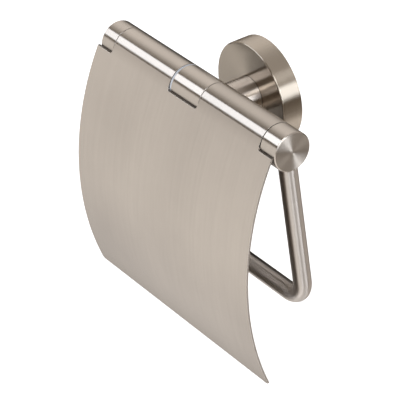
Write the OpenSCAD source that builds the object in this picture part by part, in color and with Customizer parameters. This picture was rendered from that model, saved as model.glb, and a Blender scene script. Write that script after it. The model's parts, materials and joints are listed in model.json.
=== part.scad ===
// Wall-mounted toilet paper holder with a hinged cover sheet.
//
// Frame: the origin is the centre of the rosette's back face, on the wall.
// +Y points into the wall, -Y towards the user, +Z up, +X along the bar towards the end with the roll arm.
// A steel cup is screwed to the wall, the rosette slips over it, and a post carries the bar in a saddle.
// The cover sheet is rolled into two knuckles, which turn on nylon bushes around the pivot rod.

/* [Bar] */
// Length of the bar over both end caps
bar_len = 142; // [136:1:160]
// Diameter of the bar, which is also the outside of the rolled knuckles
bar_d = 20; // [19:0.5:22]
// Diameter of the pivot rod inside the bar
pivot_d = 10; // [9:0.5:10.5]
// Length of the fixed hub in the middle of the bar
hub_len = 22; // [21:0.5:30]
// Length of the left end cap
left_cap_len = 10.6; // [10.2:0.2:14]
// Length of the right end cap, which takes the roll arm
right_cap_len = 11.2; // [10.8:0.2:14]
// Visible gap between a turning knuckle and a fixed piece
seam_gap = 0.4; // [0.3:0.1:0.6]
// Thickness of the spacer washer beside the hub
spacer_t = 1.1; // [0.8:0.1:1.5]

/* [Wall fixing] */
// Distance from the wall to the axis of the bar
bar_to_wall = 39; // [38:1:60]
// Height of the bar's axis above the post's axis
bar_rise = 11.5; // [11:0.5:13]
// Diameter of the rosette
rosette_d = 53.5; // [52:0.5:60]
// Depth of the rosette from the wall to its face
rosette_depth = 11; // [10.5:0.5:14]
// Diameter of the post
post_d = 19.4; // [18:0.2:20]
// Distance between the two wall screws
wall_screw_pitch = 32; // [28:1:34]
// Diameter of each wall screw hole
wall_screw_d = 4.5; // [4:0.5:5.5]

/* [Cover sheet] */
// Thickness of the sheet
sheet_t = 1; // [0.8:0.1:1]
// Outside radius of the sheet's long curve
sheet_r = 148; // [130:1:170]
// Angle above the horizontal at which the sheet leaves the bar
leave_angle = 30.5; // [26:0.5:34]
// Angle of the sheet's long curve
sheet_sweep = 51.1; // [46:0.1:54]
// How far the sheet's middle is to the left of the bar's middle
sheet_offset = 1.1; // [0:0.1:1.5]
// Height of each notch's floor above the bar's axis
notch_floor = 0.4; // [0:0.1:1]
// Radius of the notch corners
notch_corner_r = 1.6; // [1:0.1:2.5]
// Radius of the sheet's outer corners
sheet_corner_r = 1; // [0.5:0.1:3]
// How far the cover swings up from hanging
cover_swing = 180; // [90:5:180]

/* [Roll arm] */
// Diameter of the roll arm's rod
arm_d = 9; // [8:0.5:9]
// Length of the rod from the bar's axis to the spindle's axis
arm_drop = 88.9; // [80:0.1:100]
// Lean of the arm towards the wall, in degrees
arm_lean = 4.7; // [0:0.1:8]
// Bend radius of the arm, on its centre line
arm_bend_r = 13; // [9:0.5:16]
// Length of the spindle, from the rod's axis to its free end
spindle_len = 122.5; // [112:0.5:130]
// Distance of the rod's axis from the bar's end
arm_inset = 5.5; // [5.3:0.1:6]

/* [Hidden] */
$fn = 96;

STEEL = [0.74, 0.72, 0.69];
DARK_STEEL = [0.36, 0.35, 0.34];
NYLON = [0.90, 0.91, 0.93];

eps = 0.01;                              // overlap that keeps a cut or a join clean
bar_r = bar_d / 2;
pivot_r = pivot_d / 2;
bar_end = bar_len / 2;                   // X of the bar's end faces
left_in = left_cap_len - bar_end;        // X of the left cap's inner face
right_in = bar_end - right_cap_len;      // X of the right cap's inner face
hub_half = hub_len / 2;
knuckle_bore_r = bar_r - sheet_t;
running_gap = 0.05;                      // radial clearance of the bushes on the pivot rod
thrust_gap = 0.1;                        // end clearance of the bushes
bush_proud = seam_gap - thrust_gap;      // how far a bush stands out of its knuckle
bush_len = 12;
left_knuckle = [left_in + seam_gap, -hub_half - spacer_t - seam_gap];
right_knuckle = [hub_half + seam_gap, right_in - seam_gap];
sheet_left = -bar_end - sheet_offset;
sheet_right = bar_end - sheet_offset;

edge_break = 0.5;                        // chamfer on the bar's end faces and on the post's front
seam_break = 0.15;                       // chamfer on turned edges at the seams
spacer_inset = 0.1;                      // the spacer washer is this much smaller in radius than the bar
cap_bore_depth = 8.5;                    // how far the pivot rod goes into an end cap
grub_r = 2;                              // M4 grub screws
grub_tip = 0.6;
grub_socket = 2;                         // across the flats of their hexagon sockets
grub_socket_depth = 1.6;
grub_recess = 0.4;                       // a grub screw in the bar ends this far below the bar's surface

// Wall cup and rosette
rosette_r = rosette_d / 2;
rosette_wall = 3;
rosette_face_t = 2.2;
rosette_edge_r = 0.7;
cup_gap = 0.25;                          // radial gap between the wall cup and the rosette
cup_r = rosette_r - rosette_wall - cup_gap;
cup_t = 1.5;
cup_depth = 7.5;
rosette_grub_y = -4.5;
rosette_grub_recess = 0.2;

// Post and its screws
post_r = post_d / 2;
post_overhang = 9;                       // the post reaches this far past the bar's axis
post_screw_r = 2;
post_screw_head_r = 3.5;
post_screw_head_t = 2.6;
post_screw_socket = 2.5;                 // across the flats
post_screw_socket_depth = 1.5;
post_screw_pitch = 10;
post_screw_depth = 12;
hub_screw_r = 2.5;
hub_screw_recess_r = 4.6;
hub_screw_head_r = 4.3;
hub_screw_head_t = 2.8;
hub_screw_socket = 4;                    // across the flats
hub_screw_socket_depth = 1.8;
hub_screw_recess = 4.2;
hub_screw_tip = 4;                       // how far the hub screw goes into the pivot rod

// Cover
sheet_centre = (sheet_r - bar_r) * [cos(leave_angle), -sin(leave_angle)];
sheet_end_angle = sheet_sweep - leave_angle;
lip_angle = 2;                           // the knuckle's rolled lip ends this far below the horizontal
join_angle = 0.1;                        // overlap of the sheet's curve with the knuckle
wedge_r = 2 * sheet_r;

// Hinge stop: a dowel in the right end cap runs in an arc groove of the bush beside it
stop_r = 1;
stop_circle_r = 7.2;
stop_gap = 0.1;
stop_proud = 2;
stop_depth = 4;
stop_groove_depth = 2.6;
stop_angle = 90;                         // straight above the pivot rod

// Roll arm
arm_r = arm_d / 2;
arm_x = bar_end - arm_inset;
arm_seat = 7;                            // the rod's shoulder sits this far below the bar's axis
arm_spigot_r = 3;
arm_spigot_top = 2;
arm_grub_z = -1.5;
arm_tip_chamfer = 1.2;

// Moves children from the bar's axis to their place in the object
module on_bar() {
    translate([0, -bar_to_wall, bar_rise]) children();
}

// Cylinder along +X between two X positions
module x_cylinder(from, to, r) {
    translate([from, 0, 0]) rotate([0, 90, 0]) cylinder(h = to - from, r = r);
}

// Turned piece along X, with one chamfer on its edge at "from" and another at "to"
module x_turned(from, to, r, from_break, to_break) {
    side = to > from ? 1 : -1;
    len = abs(to - from);
    translate([from, 0, 0]) rotate([0, side * 90, 0]) rotate_extrude() polygon([
        [0, 0],
        [r - from_break, 0],
        [r, from_break],
        [r, len - to_break],
        [r - to_break, len],
        [0, len]
    ]);
}

// Hexagon socket along +Z, by the distance across its flats, open at its upper end
module socket(across, depth) {
    cylinder(h = depth + 1, r = across / sqrt(3), $fn = 6);
}

// Grub screw along +Z: its tip is at z = 0 and its hexagon socket opens at z = len
module grub_screw(len) {
    difference() {
        union() {
            cylinder(h = grub_tip, r1 = grub_r - grub_tip, r2 = grub_r);
            translate([0, 0, grub_tip - eps]) cylinder(h = len - grub_tip + eps, r = grub_r);
        }
        translate([0, 0, len - grub_socket_depth]) socket(grub_socket, grub_socket_depth);
    }
}

// Extrudes a 2D outline, drawn in Y and Z, along X
module extrude_x(from, to) {
    translate([from, 0, 0]) rotate([90, 0, 90]) linear_extrude(to - from) children();
}

// Pie slice between two angles, less than 180 degrees apart
module wedge(from, to) {
    mid = (from + to) / 2;
    polygon([
        [0, 0],
        wedge_r * [cos(from), sin(from)],
        wedge_r * 1.5 * [cos(mid), sin(mid)],
        wedge_r * [cos(to), sin(to)]
    ]);
}

// Flat ring
module ring(r_out, r_in) {
    difference() {
        circle(r_out);
        circle(r_in);
    }
}

// ---- wall fixing ----

// Pressed steel cup with two screw holes
module wall_plate() {
    color(DARK_STEEL) difference() {
        rotate([90, 0, 0]) cylinder(h = cup_depth, r = cup_r);
        translate([0, -cup_t, 0]) rotate([90, 0, 0]) cylinder(h = cup_depth, r = cup_r - cup_t);
        for (side = [-1, 1])
            translate([side * wall_screw_pitch / 2, 1, 0])
                rotate([90, 0, 0]) cylinder(h = cup_t + 2, r = wall_screw_d / 2);
    }
}

// Half section of the rosette, with its outer front edge rounded
module rosette_section() {
    difference() {
        union() {
            square([rosette_r, rosette_depth - rosette_edge_r]);
            square([rosette_r - rosette_edge_r, rosette_depth]);
            translate([rosette_r - rosette_edge_r, rosette_depth - rosette_edge_r]) circle(rosette_edge_r);
        }
        translate([-eps, -eps])
            square([rosette_r - rosette_wall + eps, rosette_depth - rosette_face_t + eps]);
    }
}

module rosette() {
    color(STEEL) difference() {
        rotate([90, 0, 0]) rotate_extrude() rosette_section();
        for (side = [-1, 1])
            translate([side * post_screw_pitch / 2, 0, 0])
                rotate([90, 0, 0]) cylinder(h = rosette_depth + 1, r = post_screw_r);
        translate([0, rosette_grub_y, -rosette_r - 1]) cylinder(h = rosette_wall + 2, r = grub_r);
    }
}

module rosette_grub_screw() {
    grub_len = rosette_wall + cup_gap - rosette_grub_recess;
    color(DARK_STEEL) translate([0, rosette_grub_y, -cup_r]) rotate([180, 0, 0]) grub_screw(grub_len);
}

// Round post, cut to a saddle for the hub
module post() {
    front = bar_to_wall + post_overhang;
    color(STEEL) difference() {
        translate([0, -rosette_depth, 0]) rotate([90, 0, 0]) {
            cylinder(h = front - rosette_depth - edge_break, r = post_r);
            translate([0, 0, front - rosette_depth - edge_break])
                cylinder(h = edge_break, r1 = post_r, r2 = post_r - edge_break);
        }
        on_bar() x_cylinder(-bar_end, bar_end, bar_r);
        for (side = [-1, 1])
            translate([side * post_screw_pitch / 2, -rosette_depth + 1, 0])
                rotate([90, 0, 0]) cylinder(h = post_screw_depth + 1, r = post_screw_r);
        translate([0, -bar_to_wall, -post_r - 1]) cylinder(h = 2 * post_r, r = hub_screw_r);
        translate([0, -bar_to_wall, -post_r - 1]) cylinder(h = hub_screw_recess + 1, r = hub_screw_recess_r);
    }
}

// Two pan-head screws, from inside the rosette into the post
module post_screws() {
    inner_face = rosette_face_t - rosette_depth;
    color(DARK_STEEL)
        for (side = [-1, 1])
            translate([side * post_screw_pitch / 2, inner_face, 0]) rotate([90, 0, 0]) {
                cylinder(h = rosette_face_t + post_screw_depth - 1, r = post_screw_r);
                difference() {
                    translate([0, 0, -post_screw_head_t])
                        cylinder(h = post_screw_head_t, r = post_screw_head_r);
                    translate([0, 0, post_screw_socket_depth - post_screw_head_t])
                        rotate([180, 0, 0]) socket(post_screw_socket, post_screw_socket_depth);
                }
            }
}

// ---- bar ----

module hub() {
    color(STEEL) on_bar() difference() {
        x_turned(-hub_half, hub_half, bar_r, seam_break, seam_break);
        x_cylinder(-hub_half - 1, hub_half + 1, pivot_r);
        translate([0, 0, -bar_r - 1]) cylinder(h = bar_r, r = hub_screw_r);
    }
}

// Socket-head screw that holds the hub and the pivot rod down in the post's saddle
module hub_screw() {
    head_z = -post_r + hub_screw_recess;
    tip_z = bar_rise - pivot_r + hub_screw_tip;
    color(DARK_STEEL) translate([0, -bar_to_wall, 0]) difference() {
        union() {
            translate([0, 0, head_z]) cylinder(h = tip_z - head_z, r = hub_screw_r);
            translate([0, 0, head_z - hub_screw_head_t])
                cylinder(h = hub_screw_head_t, r = hub_screw_head_r);
        }
        translate([0, 0, head_z - hub_screw_head_t + hub_screw_socket_depth])
            rotate([180, 0, 0]) socket(hub_screw_socket, hub_screw_socket_depth);
    }
}

module pivot_rod() {
    color(STEEL) on_bar() difference() {
        x_cylinder(left_in - cap_bore_depth, right_in + cap_bore_depth, pivot_r);
        translate([0, 0, -pivot_r - 1]) cylinder(h = hub_screw_tip + 1, r = hub_screw_r);
        translate([arm_x, 0, 0]) rotate([arm_lean, 0, 0])
            translate([0, 0, -arm_seat]) cylinder(h = arm_seat + arm_spigot_top, r = arm_spigot_r);
    }
}

// Where an end cap's grub screw runs: from the back of the cap to the pivot rod
module cap_grub_place() {
    translate([-bar_end + arm_inset, pivot_r, 0]) rotate([-90, 0, 0]) children();
}

module left_end_cap() {
    color(STEEL) on_bar() difference() {
        x_turned(left_in, -bar_end, bar_r, seam_break, edge_break);
        x_cylinder(left_in - cap_bore_depth, left_in + 1, pivot_r);
        cap_grub_place() cylinder(h = bar_r, r = grub_r);
    }
}

module left_cap_grub_screw() {
    color(DARK_STEEL) on_bar() cap_grub_place() grub_screw(bar_r - pivot_r - grub_recess);
}

// Places children at the stop pin, along +X from the cap's inner face
module at_stop() {
    translate([right_in, stop_circle_r * cos(stop_angle), stop_circle_r * sin(stop_angle)])
        rotate([0, 90, 0]) children();
}

module right_end_cap() {
    color(STEEL) on_bar() difference() {
        x_turned(right_in, bar_end, bar_r, seam_break, edge_break);
        x_cylinder(right_in - 1, right_in + cap_bore_depth, pivot_r);
        at_stop() translate([0, 0, -1]) cylinder(h = stop_depth + 1, r = stop_r);
        translate([arm_x, 0, 0]) rotate([arm_lean, 0, 0]) {
            translate([0, 0, -bar_r - 2]) cylinder(h = bar_r + 2 - arm_seat, r = arm_r);
            translate([0, 0, -arm_seat - 1]) cylinder(h = arm_seat + 1, r = arm_spigot_r);
        }
        arm_grub_place() cylinder(h = bar_r, r = grub_r);
    }
}

// Dowel that stops the cover's swing at both ends
module stop_pin() {
    color(DARK_STEEL) on_bar() at_stop()
        translate([0, 0, -stop_proud]) cylinder(h = stop_proud + stop_depth, r = stop_r);
}

module spacer_washer() {
    color(NYLON) on_bar() difference() {
        x_cylinder(-hub_half - spacer_t, -hub_half, bar_r - spacer_inset);
        x_cylinder(-hub_half - spacer_t - 1, -hub_half + 1, pivot_r + running_gap);
    }
}

// ---- roll arm ----

// Where the arm's grub screw runs: from the back of the right end cap to the pivot rod
module arm_grub_place() {
    translate([arm_x, pivot_r, 0]) rotate([-90, 0, 0]) children();
}

module arm_grub_screw() {
    color(DARK_STEEL) on_bar() arm_grub_place() grub_screw(bar_r - pivot_r - grub_recess);
}

// Bent rod: threaded spigot, drop, bend and spindle
module roll_arm() {
    bend_z = -arm_drop + arm_bend_r;
    spindle_straight = spindle_len - arm_bend_r - arm_tip_chamfer;
    color(STEEL) on_bar() translate([arm_x, 0, 0]) rotate([arm_lean, 0, 0]) {
        translate([0, 0, -arm_seat - eps]) cylinder(h = arm_seat + arm_spigot_top + eps, r = arm_spigot_r);
        translate([0, 0, bend_z]) cylinder(h = -arm_seat - bend_z, r = arm_r);
        translate([-arm_bend_r, 0, bend_z]) rotate([90, 0, 0]) rotate([0, 0, -90])
            rotate_extrude(angle = 90) translate([arm_bend_r, 0]) circle(arm_r);
        translate([-arm_bend_r, 0, -arm_drop]) rotate([0, -90, 0]) {
            cylinder(h = spindle_straight, r = arm_r);
            translate([0, 0, spindle_straight])
                cylinder(h = arm_tip_chamfer, r1 = arm_r, r2 = arm_r - arm_tip_chamfer);
        }
    }
}

// ---- cover ----

// Section of a rolled knuckle, which leaves the sheet at the front and wraps over the top, round the back
module knuckle_section() {
    difference() {
        ring(bar_r, knuckle_bore_r);
        wedge(180 - leave_angle, 180 + lip_angle);
    }
}

// Section of the sheet's long curve
module sheet_section() {
    translate(sheet_centre) intersection() {
        ring(sheet_r, sheet_r - sheet_t);
        wedge(180 - leave_angle - join_angle, 180 + sheet_end_angle);
    }
}

// Notch with two rounded lower corners, open upwards
module notch_outline(from, to) {
    height = bar_r;
    translate([from, notch_floor + notch_corner_r]) square([to - from, height]);
    translate([from + notch_corner_r, notch_floor]) square([to - from - 2 * notch_corner_r, height]);
    for (x = [from + notch_corner_r, to - notch_corner_r])
        translate([x, notch_floor + notch_corner_r]) circle(notch_corner_r);
}

// Outline of the sheet as seen from the front: a rectangle with rounded corners, less the three notches
module sheet_outline() {
    bottom = sheet_centre[1] - sheet_r * sin(sheet_end_angle) - 2;
    beyond = bar_end + sheet_offset + 2 * notch_corner_r + 1;
    difference() {
        translate([sheet_left, bottom]) square([bar_len, bar_r - bottom]);
        notch_outline(left_knuckle[1], right_knuckle[0]);
        notch_outline(-beyond, left_knuckle[0]);
        notch_outline(right_knuckle[1], beyond);
    }
}

// Takes off one of the sheet's lower corners to a radius: the left one for side -1, the right one for side 1
module lower_corner_cut(side) {
    bottom = sheet_centre[1] - (sheet_r - sheet_t / 2) * sin(sheet_end_angle);
    r = sheet_corner_r;
    edge = side > 0 ? sheet_right : sheet_left;
    translate([edge - side * r, bottom + r]) difference() {
        translate([side > 0 ? 0 : -r - 1, -r - 1]) square([r + 1, r + 1]);
        circle(r);
    }
}

module cover_sheet() {
    depth = 2 * bar_to_wall;
    color(STEEL) on_bar() {
        intersection() {
            extrude_x(sheet_left - 1, sheet_right + 1) sheet_section();
            rotate([90, 0, 0]) linear_extrude(depth) difference() {
                sheet_outline();
                for (side = [-1, 1]) lower_corner_cut(side);
            }
        }
        for (k = [left_knuckle, right_knuckle]) extrude_x(k[0], k[1]) knuckle_section();
    }
}

// ---- nylon bushes, pressed into the ends of the knuckles ----

// Plain bush whose outer end stands proud of its knuckle
module bush(from, to) {
    color(NYLON) on_bar() difference() {
        x_cylinder(from, to, knuckle_bore_r);
        x_cylinder(from - 1, to + 1, pivot_r + running_gap);
    }
}

module left_outer_bush() {
    bush(left_knuckle[0] - bush_proud, left_knuckle[0] + bush_len);
}

module left_inner_bush() {
    bush(left_knuckle[1] - bush_len, left_knuckle[1] + bush_proud);
}

module right_inner_bush() {
    bush(right_knuckle[0] - bush_proud, right_knuckle[0] + bush_len);
}

// This bush has the arc groove in which the stop pin runs
module right_outer_bush() {
    end = right_knuckle[1] + bush_proud;
    groove_r = stop_r + stop_gap;
    color(NYLON) difference() {
        bush(right_knuckle[1] - bush_len, end);
        on_bar() translate([end - stop_groove_depth, 0, 0]) rotate([90, 0, 90]) {
            rotate([0, 0, stop_angle]) rotate_extrude(angle = cover_swing)
                translate([stop_circle_r - groove_r, 0]) square([2 * groove_r, stop_groove_depth + 1]);
            for (a = [0, cover_swing])
                rotate([0, 0, stop_angle + a]) translate([stop_circle_r, 0, 0])
                    cylinder(h = stop_groove_depth + 1, r = groove_r);
        }
    }
}

wall_plate();
rosette();
rosette_grub_screw();
post();
post_screws();
hub();
hub_screw();
pivot_rod();
left_end_cap();
left_cap_grub_screw();
right_end_cap();
stop_pin();
spacer_washer();
roll_arm();
arm_grub_screw();
cover_sheet();
left_outer_bush();
left_inner_bush();
right_inner_bush();
right_outer_bush();
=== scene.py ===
"""Looks of a wall-mounted toilet paper holder: camera, studio light, pale floor and the parts' finishes."""
import json
from math import degrees, radians
import bpy
from mathutils import Matrix, Vector


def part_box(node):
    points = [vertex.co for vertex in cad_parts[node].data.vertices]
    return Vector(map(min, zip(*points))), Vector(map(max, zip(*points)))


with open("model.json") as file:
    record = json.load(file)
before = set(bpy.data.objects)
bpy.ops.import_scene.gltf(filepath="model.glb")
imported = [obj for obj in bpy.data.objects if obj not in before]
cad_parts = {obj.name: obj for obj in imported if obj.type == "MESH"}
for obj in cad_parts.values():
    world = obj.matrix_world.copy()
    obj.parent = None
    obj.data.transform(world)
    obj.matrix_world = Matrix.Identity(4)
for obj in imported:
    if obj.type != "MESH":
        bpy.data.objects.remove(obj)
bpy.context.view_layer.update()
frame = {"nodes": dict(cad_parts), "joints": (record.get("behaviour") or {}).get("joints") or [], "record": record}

# ---- sizes and places, in metres and degrees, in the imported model's frame ----

MM = 0.001
X_AXIS = (1.0, 0.0, 0.0)
Y_AXIS = (0.0, 1.0, 0.0)
Z_AXIS = (0.0, 0.0, 1.0)
BAR_CENTRE = tuple(frame["joints"][0]["pos_m"])      # the bar is turned about X through this point
POST_CENTRE = (0.0, 0.0, 0.0)                        # the rosette and the post are turned about Y through it
ROD_R = 4.5 * MM
ARM_BEND_R = 13 * MM

VIEW_AIM = Vector((-0.0012, -0.0433, -0.0473))
VIEW_DISTANCE = 1.1464
VIEW_AZIMUTH = 56.73
VIEW_ELEVATION = 32.49
VIEW_ROLL = -4.04
VIEW_LENS = 212.6                                    # focal length, in millimetres
SENSOR = 36.0
VIEW_NEAR = 0.05
VIEW_FAR = 60.0

FLOOR_Z = -0.6
FLOOR_HALF = 12.0

# The dark card is an L in the wall's plane, which reaches higher to the left of CARD_STEP
CARD_LEFT = -0.30
CARD_STEP = -0.035
CARD_RIGHT = 0.06
CARD_LOW = -0.35
CARD_MIDDLE = -0.032
CARD_HIGH = 0.03
CARD_Y = 1 * MM

# ---- finishes ----

STEEL = (0.64, 0.585, 0.53)
ARM_STEEL = (0.70, 0.645, 0.60)
# the rosette's steel is a darker, browner copy of STEEL: painted shade
ROSETTE_STEEL_SHADED = (0.56, 0.495, 0.42)
# the post's steel is a lighter copy of STEEL: painted light, which brightens its highlights
POST_STEEL_LIT = (0.74, 0.665, 0.60)
PLATE = (0.50, 0.48, 0.46)
SCREW = (0.40, 0.39, 0.37)
NYLON = (0.60, 0.63, 0.68)
LINES_PER_METRE = 3500.0                             # fineness of the brushing, across its lines
LINE_TURN = 1.6                                      # how often a line breaks as it runs round its axis
LINE_RUN = 45.0                                      # how often a line breaks as it runs straight, per metre
LINE_CONTRAST = 0.14
LINE_DEPTH = 0.01 * MM
LINE_RELIEF = 0.12
FINE_SHARE = 0.6                                     # how much of the brushing is fine lines, not coarse ones
COARSE_SCALE = 0.2                                   # fineness of the coarse lines, against the fine ones
LINE_SHARE = 0.7                                     # how much of the tone is lines, not clouds
CLOUDS = 70.0                                        # how many faint clouds there are in a metre of steel
PATCHES = 13.0                                       # how many soft patches there are in a metre of sheet
WEAR_AND_SHEEN_WIDTH = 0.30 * MM                                # how wide an edge is rubbed and carries its painted highlight
EDGE_HIGHLIGHT = 1.2                                      # how bright the painted highlight on a rubbed edge is
EDGE_POLISH = 0.05                                   # how much smoother a rubbed edge is
WEAR_AND_SHEEN_BEND = (0.985, 0.90)                            # the bend's cosine where wear and its painted highlight begin and are full
PAINTED_JOINT_SHADE = 0.40                                         # what is left of the colour deep in a joint, under the painted shade
JOINT_SHADE_AIR = (0.4, 0.92)                              # how open the space is where the painted joint shade is full and ends
NOTCH_SHADE = 0.45                                      # how dark the painted shade on the notch floors under the sleeves is
CUT_ROUGHNESS = 0.3                                  # how much rougher a raw cut edge is
ROUGHNESS_DRIFT = 0.02                               # how far the roughness follows the tone
NOTCH_REACH = 3 * MM                                 # the notch floors, which get painted shade, are this near to the bar's level
MOTTLE = 900.0                                       # fineness of the nylon's mottle
MOTTLE_DEPTH = 0.02 * MM
MOTTLE_RELIEF = 0.2
NYLON_ROUGHNESS = (0.35, 0.5)
NYLON_DEPTH = 1 * MM                                 # how deep light goes into the nylon
NOISE_SPREAD = (0.3, 0.7)                            # most values of a noise lie between these

# The cosines between which a surface comes to count as an end face, a side edge or the floor of a notch
END_FACE = (0.8, 0.95)
SIDE_EDGE = (0.5, 0.6)
NOTCH_FLOOR = (0.6, 0.8)


# ---- node helpers ----

def node(tree, kind, settings=None, inputs=None):
    """Adds a node. An input is a number, a vector or colour, or another node's output to link."""
    made = tree.nodes.new("ShaderNode" + kind)
    for name, value in (settings or {}).items():
        setattr(made, name, value)
    for name, value in (inputs or {}).items():
        if isinstance(value, bpy.types.NodeSocket):
            tree.links.new(value, made.inputs[name])
        else:
            made.inputs[name].default_value = value
    return made


def maths(tree, operation, *values):
    """One step of arithmetic on numbers."""
    return node(tree, "Math", {"operation": operation}, dict(enumerate(values))).outputs[0]


def blend(tree, share, one, other):
    """Two numbers mixed, with a fixed share for the first."""
    return maths(tree, "ADD", maths(tree, "MULTIPLY", one, share), maths(tree, "MULTIPLY", other, 1 - share))


def vector(tree, operation, *values):
    """One step of arithmetic on vectors, with a vector as its result."""
    return node(tree, "VectorMath", {"operation": operation}, dict(enumerate(values))).outputs["Vector"]


def scaled(tree, direction, factor):
    return node(tree, "VectorMath", {"operation": "SCALE"}, {0: direction, "Scale": factor}).outputs["Vector"]


def number(tree, operation, *values):
    """A dot product or a length."""
    return node(tree, "VectorMath", {"operation": operation}, dict(enumerate(values))).outputs["Value"]


def remap(tree, value, low, high, to_low=0.0, to_high=1.0, smooth=False):
    """Maps low..high to to_low..to_high, clamped at both ends."""
    kind = "SMOOTHSTEP" if smooth else "LINEAR"
    inputs = {"Value": value, "From Min": low, "From Max": high, "To Min": to_low, "To Max": to_high}
    return node(tree, "MapRange", {"interpolation_type": kind}, inputs).outputs[0]


def noise(tree, place, scale, detail=2.0, roughness=0.5):
    inputs = {"Vector": place, "Scale": scale, "Detail": detail, "Roughness": roughness}
    return node(tree, "TexNoise", None, inputs).outputs[0]


def mixed(tree, factor, low, high):
    """A colour between two others."""
    made = node(tree, "Mix", {"data_type": "RGBA"})
    for name, value in (("Factor_Float", factor), ("A_Color", low), ("B_Color", high)):
        socket = next(s for s in made.inputs if s.identifier == name)
        if isinstance(value, bpy.types.NodeSocket):
            tree.links.new(value, socket)
        else:
            socket.default_value = value
    return next(s for s in made.outputs if s.identifier == "Result_Color")


def in_world(tree, direction):
    """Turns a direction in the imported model's rest frame to the world, so that it follows a moved body."""
    settings = {"vector_type": "VECTOR", "convert_from": "OBJECT", "convert_to": "WORLD"}
    return node(tree, "VectorTransform", settings, {"Vector": direction}).outputs[0]


# ---- how the brushing runs: each gives the noise's place and the direction across the lines ----

def turned_about(axis, centre):
    """Lines round an axis, as a lathe leaves them, on the sides and on the end faces."""
    def run(tree, place):
        offset = vector(tree, "SUBTRACT", place, centre)
        around = vector(tree, "CROSS_PRODUCT", axis, offset)
        depth = maths(tree, "ADD", number(tree, "DOT_PRODUCT", offset, axis), number(tree, "LENGTH", around))
        across = scaled(tree, axis, maths(tree, "MULTIPLY", depth, LINES_PER_METRE))
        along = scaled(tree, vector(tree, "NORMALIZE", around), LINE_TURN)
        normal = node(tree, "NewGeometry").outputs["Normal"]
        spread = vector(tree, "CROSS_PRODUCT", normal, in_world(tree, around))
        end_face = maths(tree, "ABSOLUTE", number(tree, "DOT_PRODUCT", normal, in_world(tree, axis)))
        return vector(tree, "ADD", across, along), vector(tree, "NORMALIZE", spread), end_face, 0.0
    return run


def brushed_down_the_sheet(tree, place):
    """Lines that run down the cover and round its knuckles, and across the thickness on its side edges."""
    grain = vector(tree, "MULTIPLY", place, (LINES_PER_METRE, LINE_RUN, LINE_RUN))
    z = node(tree, "SeparateXYZ", None, {0: place}).outputs[2]
    normal = node(tree, "NewGeometry").outputs["Normal"]
    side_edge = maths(tree, "ABSOLUTE", number(tree, "DOT_PRODUCT", normal, in_world(tree, X_AXIS)))
    spread = mixed(tree, remap(tree, side_edge, *SIDE_EDGE), in_world(tree, X_AXIS), in_world(tree, Z_AXIS))
    # the notch floors near the bar's level: rough as raw cut edges, and darkened as painted shade
    level = maths(tree, "ABSOLUTE", maths(tree, "SUBTRACT", z, BAR_CENTRE[2]))
    floor = maths(tree, "ABSOLUTE", number(tree, "DOT_PRODUCT", normal, in_world(tree, Z_AXIS)))
    near = remap(tree, level, NOTCH_REACH + 0.5 * MM, NOTCH_REACH)
    cut_and_shade = maths(tree, "MULTIPLY", remap(tree, floor, *NOTCH_FLOOR), near)
    return grain, spread, side_edge, cut_and_shade


def ground_round_the_arm(tree, place):
    """Lines round the bent rod: the way along it turns from straight down to straight left in the bend."""
    low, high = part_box("roll_arm")
    bend = (high.x - ROD_R - ARM_BEND_R, 0.0, low.z + ROD_R + ARM_BEND_R)
    offset = vector(tree, "SUBTRACT", place, bend)
    x, y, z = node(tree, "SeparateXYZ", None, {0: offset}).outputs
    right = maths(tree, "MAXIMUM", x, 0.0)
    down = maths(tree, "MINIMUM", z, 0.0)
    outward = node(tree, "CombineXYZ", None, {0: right, 2: down}).outputs[0]
    way = vector(tree, "CROSS_PRODUCT", outward, Y_AXIS)
    turned = maths(tree, "ARCTAN2", maths(tree, "MULTIPLY", down, -1.0), right)
    drop = maths(tree, "MAXIMUM", z, 0.0)
    spindle = maths(tree, "MINIMUM", x, 0.0)
    length = maths(tree, "ADD", drop, spindle)
    length = maths(tree, "SUBTRACT", length, maths(tree, "MULTIPLY", turned, ARM_BEND_R))
    across = maths(tree, "MULTIPLY", length, LINES_PER_METRE)
    side = maths(tree, "MULTIPLY", y, 3 * LINE_RUN)
    depth = maths(tree, "MULTIPLY", number(tree, "LENGTH", outward), 3 * LINE_RUN)
    grain = node(tree, "CombineXYZ", None, {0: across, 1: side, 2: depth}).outputs[0]
    return grain, in_world(tree, vector(tree, "NORMALIZE", way)), 0.0, 0.0


# ---- materials ----

def new_material(name):
    material = bpy.data.materials.new(name)
    material.use_nodes = True
    return material, material.node_tree, material.node_tree.nodes["Principled BSDF"]


def shaded(colour, factor):
    return tuple(c * factor for c in colour) + (1.0,)


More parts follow.
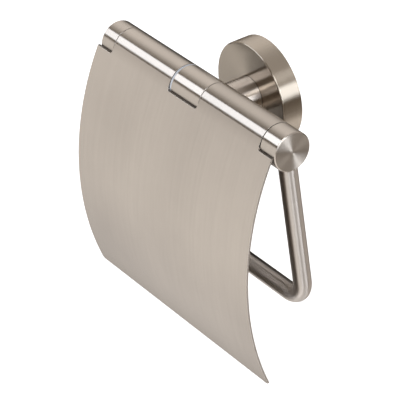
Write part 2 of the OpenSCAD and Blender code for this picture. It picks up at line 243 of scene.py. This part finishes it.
def steel(name, run, colour=STEEL, roughness=0.23, anisotropy=1.0, reach=0.6 * MM, patchy=0.0,
          face_roughness=0.43, face_tone=1.0):
    """Brushed stainless steel: fine lines, faint clouds, edges rubbed smooth with a painted highlight, and painted
    shade in joints and on notch floors.

    face_roughness and face_tone (painted shade) are for flat end faces; reach is how far painted shade spreads
    from a joint.
    """
    material, tree, shader = new_material(name)
    place = node(tree, "TexCoord").outputs["Object"]
    grain, across, end_face, cut_and_shade = run(tree, place)
    fine = noise(tree, grain, 1.0, detail=4.0, roughness=0.65)
    coarse = noise(tree, grain, COARSE_SCALE, detail=2.0)
    lines = blend(tree, FINE_SHARE, fine, coarse)
    clouds = noise(tree, place, CLOUDS, detail=3.0)
    patches = noise(tree, place, PATCHES, detail=1.0)
    rounded = node(tree, "Bevel", {"samples": 6}, {"Radius": WEAR_AND_SHEEN_WIDTH}).outputs[0]
    flat = node(tree, "NewGeometry").outputs["Normal"]
    wear_and_sheen = remap(tree, number(tree, "DOT_PRODUCT", rounded, flat), *WEAR_AND_SHEEN_BEND)
    in_face = remap(tree, end_face, *END_FACE)

    tone = blend(tree, LINE_SHARE, lines, clouds)
    body = mixed(tree, tone, shaded(colour, 1 - LINE_CONTRAST), shaded(colour, 1 + LINE_CONTRAST))
    # painted highlight: rubbed edges get a brighter colour
    body = mixed(tree, wear_and_sheen, body, shaded(colour, EDGE_HIGHLIGHT))
    # painted shade: the colour darkens where the space is closed in, in joints and under the cover's edge
    open_air = node(tree, "AmbientOcclusion", {"samples": 8}, {"Distance": reach}).outputs["AO"]
    shade_and_patches = remap(tree, open_air, *JOINT_SHADE_AIR, PAINTED_JOINT_SHADE, 1.0)
    # painted shade: flat end faces are darkened by face_tone
    shade_and_patches = maths(tree, "MULTIPLY", shade_and_patches, remap(tree, in_face, 0.0, 1.0, 1.0, face_tone))
    # painted shade on the notch floors under the sleeves
    shade_and_patches = maths(tree, "MULTIPLY", shade_and_patches, remap(tree, cut_and_shade, 0.0, 1.0, 1.0, NOTCH_SHADE))
    shade_and_patches = maths(tree, "MULTIPLY", shade_and_patches, remap(tree, patches, *NOISE_SPREAD, 1 + patchy, 1 - patchy))
    tree.links.new(scaled(tree, body, shade_and_patches), shader.inputs["Base Color"])

    rough = remap(tree, in_face, 0.0, 1.0, roughness, face_roughness)
    rough = maths(tree, "ADD", rough, remap(tree, tone, *NOISE_SPREAD, -ROUGHNESS_DRIFT, ROUGHNESS_DRIFT))
    rough = maths(tree, "SUBTRACT", rough, maths(tree, "MULTIPLY", wear_and_sheen, EDGE_POLISH))
    rough = maths(tree, "ADD", rough, maths(tree, "MULTIPLY", cut_and_shade, CUT_ROUGHNESS))
    tree.links.new(rough, shader.inputs["Roughness"])

    relief = {"Strength": LINE_RELIEF, "Distance": LINE_DEPTH, "Height": lines, "Normal": rounded}
    tree.links.new(node(tree, "Bump", None, relief).outputs[0], shader.inputs["Normal"])
    tree.links.new(across, shader.inputs["Tangent"])
    shader.inputs["Metallic"].default_value = 1.0
    shader.inputs["Anisotropic"].default_value = anisotropy
    return material


def nylon(name):
    """Natural white nylon, turned, with a faint mottle and a soft sheen."""
    material, tree, shader = new_material(name)
    place = node(tree, "TexCoord").outputs["Object"]
    mottle = noise(tree, place, MOTTLE, detail=3.0)
    body = mixed(tree, mottle, shaded(NYLON, 0.92), shaded(NYLON, 1.06))
    tree.links.new(body, shader.inputs["Base Color"])
    tree.links.new(remap(tree, mottle, *NOISE_SPREAD, *NYLON_ROUGHNESS), shader.inputs["Roughness"])
    bump = node(tree, "Bump", None, {"Strength": MOTTLE_RELIEF, "Distance": MOTTLE_DEPTH, "Height": mottle})
    tree.links.new(bump.outputs[0], shader.inputs["Normal"])
    shader.inputs["Subsurface Weight"].default_value = 0.2
    shader.inputs["Subsurface Radius"].default_value = (NYLON_DEPTH, NYLON_DEPTH, NYLON_DEPTH)
    return material


def finish_the_parts():
    round_the_bar = turned_about(X_AXIS, BAR_CENTRE)
    round_the_post = turned_about(Y_AXIS, POST_CENTRE)
    # the bar's painted joint shade reaches far, so that it darkens the hub near the cover's edge
    bar = steel("bar_steel", round_the_bar, reach=3 * MM)
    # the rosette's flat face is darkened by face_tone, as painted shade
    rosette = steel("rosette_steel", round_the_post, ROSETTE_STEEL_SHADED, roughness=0.26,
                    face_roughness=0.16, face_tone=0.75)
    post = steel("post_steel", round_the_post, POST_STEEL_LIT, roughness=0.28)
    by_node = {"rosette": rosette, "post": post}
    by_slot = {
        "sheet_steel": steel("sheet_steel", brushed_down_the_sheet, patchy=0.08),
        "arm_steel": steel("arm_steel", ground_round_the_arm, ARM_STEEL, roughness=0.36),
        "plate_steel": steel("plate_steel", round_the_post, PLATE, roughness=0.4),
        "screw_steel": steel("screw_steel", round_the_post, SCREW, roughness=0.38, anisotropy=0.3),
        "nylon": nylon("white_nylon"),
    }
    for part in frame["record"]["subparts"]:
        material = by_slot.get(part["material_slot"]) or by_node.get(part["node"], bar)
        for place in frame["nodes"][part["node"]].material_slots:
            place.material = material


# ---- studio ----

# Long light panels, each a strip parallel to an axis. "turn" is the angles round that axis between which it
# shines, from the front for X and from the right for Y, and "span" is the stretch of the axis that it covers.
# "soft" and "fade" are how slowly the light falls off in "turn" and in "span".
PANELS = [
    # a narrow bright strip, which makes the line along the bar
    dict(axis="X", turn=(32, 65), soft=1.5, span=(-0.82, -0.1), fade=0.06, light=(2.0, 2.14, 2.35)),
    # bright light from the upper right, for the post, the rims and the bar's end
    dict(axis="X", turn=(36, 90), soft=6, span=(0.58, 0.80), fade=0.04, light=(3.4, 3.5, 3.6)),
    # wide soft light from above and behind, for the tops of the bar and the rosette
    dict(axis="X", turn=(95, 160), soft=28, span=(-1.2, -0.4), fade=0.3, light=(0.40, 0.385, 0.37)),
    dict(axis="X", turn=(85, 185), soft=28, span=(-1.2, 1.2), fade=0.1, light=(0.38, 0.375, 0.37)),
    # wide light from the front and below, for the cover, and a soft shade, less than nothing, at its low end
    dict(axis="X", turn=(-95, 18), soft=4, span=(-1.2, 0.64), fade=0.08, light=(0.685, 0.68, 0.67)),
    dict(axis="X", turn=(-116, -55), soft=20, span=(-1.2, -0.45), fade=0.15, light=(-0.10, -0.095, -0.08)),
    # low light from the right, for the arm, the bar's end and the rosette's lower side
    dict(axis="X", turn=(-112, -10), soft=15, span=(0.25, 0.66), fade=0.1, light=(0.50, 0.49, 0.48)),
    dict(axis="X", turn=(-160, -100), soft=10, span=(-0.3, 0.62), fade=0.1, light=(0.60, 0.58, 0.56)),
    # bright light from the right, for the fan on the bar's end and the lines on the arm and the rosette
    dict(axis="Y", turn=(-3, 26), soft=5, span=(-0.62, -0.35), fade=0.1, light=(2.35, 2.5, 2.7)),
    dict(axis="Y", turn=(-3, 26), soft=5, span=(-0.14, 0.42), fade=0.12, light=(2.1, 2.24, 2.4)),
    dict(axis="Y", turn=(2, 24), soft=4, span=(0.12, 0.36), fade=0.06, light=(2.9, 3.1, 3.35)),
]
DARK = (0.14, 0.112, 0.085)                          # the light where there is no panel
BACKDROP = (1.0, 1.0, 1.0, 1.0)                      # what the camera sees behind the holder
FLOOR_COLOUR = (0.9, 0.9, 0.9, 1.0)
FLOOR_GLOW = 0.6
CARD_COLOUR = (0.03, 0.025, 0.02, 1.0)
MATT = 0.9                                           # the roughness of the floor and of the card


def within(tree, value, limits, soft):
    """1 between two limits and 0 outside, with a soft change at both."""
    low, high = limits
    risen = remap(tree, value, low - soft, low + soft, smooth=True)
    fallen = remap(tree, value, high + soft, high - soft, smooth=True)
    return maths(tree, "MULTIPLY", risen, fallen)


def panel(tree, way, axis, turn, soft, span, fade, light):
    """The light of one panel in a direction."""
    x, y, z = way
    ahead = maths(tree, "MULTIPLY", y, -1.0) if axis == "X" else x
    angle = maths(tree, "MULTIPLY", maths(tree, "ARCTAN2", z, ahead), degrees(1))
    along = x if axis == "X" else y
    lit = maths(tree, "MULTIPLY", within(tree, angle, turn, soft), within(tree, along, span, fade))
    return scaled(tree, light, lit)


def light_the_studio():
    world = bpy.data.worlds.new("studio")
    bpy.context.scene.world = world
    world.use_nodes = True
    tree = world.node_tree
    direction = node(tree, "TexCoord").outputs["Generated"]
    way = node(tree, "SeparateXYZ", None, {0: direction}).outputs
    total = DARK
    for settings in PANELS:
        total = vector(tree, "ADD", total, panel(tree, way, **settings))
    seen = node(tree, "LightPath").outputs["Is Camera Ray"]
    tree.links.new(mixed(tree, seen, total, BACKDROP), tree.nodes["Background"].inputs["Color"])


def lay_the_floor():
    """A pale matt floor, well below the holder."""
    corners = [(x * FLOOR_HALF, y * FLOOR_HALF, FLOOR_Z) for x, y in ((-1, -1), (1, -1), (1, 1), (-1, 1))]
    mesh = bpy.data.meshes.new("floor")
    mesh.from_pydata(corners, [], [(0, 1, 2, 3)])
    floor = bpy.data.objects.new("floor", mesh)
    bpy.context.scene.collection.objects.link(floor)
    material, tree, shader = new_material("pale_floor")
    shader.inputs["Base Color"].default_value = FLOOR_COLOUR
    shader.inputs["Roughness"].default_value = MATT
    shader.inputs["Emission Color"].default_value = BACKDROP
    shader.inputs["Emission Strength"].default_value = FLOOR_GLOW
    mesh.materials.append(material)
    floor.visible_glossy = False


def hang_the_dark_card():
    """A dark card in the wall's plane, hidden from the camera, that shades the space behind the cover."""
    low_side = [(CARD_LEFT, CARD_LOW), (CARD_RIGHT, CARD_LOW), (CARD_RIGHT, CARD_MIDDLE)]
    high_side = [(CARD_STEP, CARD_MIDDLE), (CARD_STEP, CARD_HIGH), (CARD_LEFT, CARD_HIGH)]
    corners = [(x, CARD_Y, z) for x, z in low_side + high_side]
    mesh = bpy.data.meshes.new("dark_card")
    mesh.from_pydata(corners, [], [tuple(range(len(corners)))])
    card = bpy.data.objects.new("dark_card", mesh)
    bpy.context.scene.collection.objects.link(card)
    material, tree, shader = new_material("card_black")
    shader.inputs["Base Color"].default_value = CARD_COLOUR
    shader.inputs["Roughness"].default_value = MATT
    mesh.materials.append(material)
    card.visible_camera = False


def place_the_camera():
    data = bpy.data.cameras.new("camera")
    data.sensor_width = SENSOR
    data.lens = VIEW_LENS
    data.clip_start = VIEW_NEAR
    data.clip_end = VIEW_FAR
    camera = bpy.data.objects.new("camera", data)
    bpy.context.scene.collection.objects.link(camera)
    turn = Matrix.Rotation(radians(VIEW_AZIMUTH), 4, "Z")
    turn = turn @ Matrix.Rotation(radians(90 - VIEW_ELEVATION), 4, "X")
    turn = turn @ Matrix.Rotation(radians(VIEW_ROLL), 4, "Z")
    back = turn @ Vector((0, 0, 1))
    camera.matrix_world = Matrix.Translation(VIEW_AIM + VIEW_DISTANCE * back) @ turn
    bpy.context.scene.camera = camera
    bpy.context.scene.view_settings.view_transform = "Standard"


place_the_camera()
lay_the_floor()
hang_the_dark_card()
light_the_studio()
finish_the_parts()
